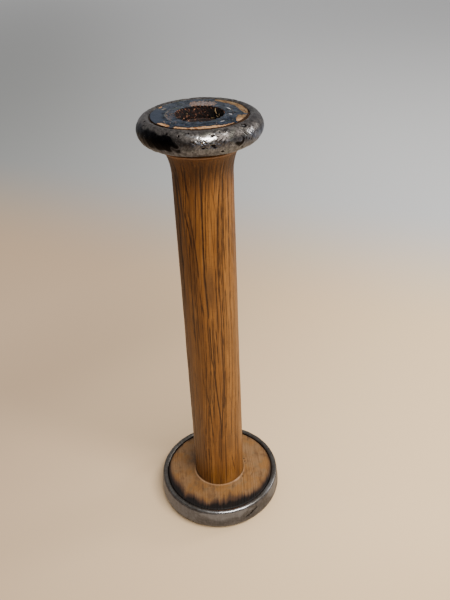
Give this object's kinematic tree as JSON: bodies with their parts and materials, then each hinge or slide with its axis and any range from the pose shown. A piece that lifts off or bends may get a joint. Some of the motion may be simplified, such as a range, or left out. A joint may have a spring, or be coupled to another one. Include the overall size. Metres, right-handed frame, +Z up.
{
  "type": "wooden yarn spool",
  "caption": "Empty turned-wood mill spool: long bored barrel between two flanged heads, the lower one larger, each edged with a rolled steel shield.",
  "frame": {"origin": "middle of the foot, on the surface that the spool stands on", "axes": "+Z up the barrel from the larger head to the smaller one; +Y away from the picture's viewer"},
  "size_m": [0.0738, 0.0738, 0.241],
  "materials": {
    "barrel_wood": "oiled, handled smooth, open dark grain",
    "painted_wood": "slate blue paint worn back to bare wood at the edges",
    "head_wood": "oily bare wood, stained black beside the rim",
    "pitted_steel": "dark steel, pitted and rubbed bright",
    "worn_steel": "dark satin steel, scuffed",
    "sleeve_steel": "rusted steel, polished by the spindle inside"
  },
  "bodies": {
    "root": {"barrel": "barrel_wood", "top_head": "painted_wood", "bottom_head": "head_wood", "top_rim_ring": "pitted_steel", "bottom_rim_ring": "worn_steel", "top_bushing": "sleeve_steel", "bottom_bushing": "sleeve_steel"}
  },
  "joints": []
}
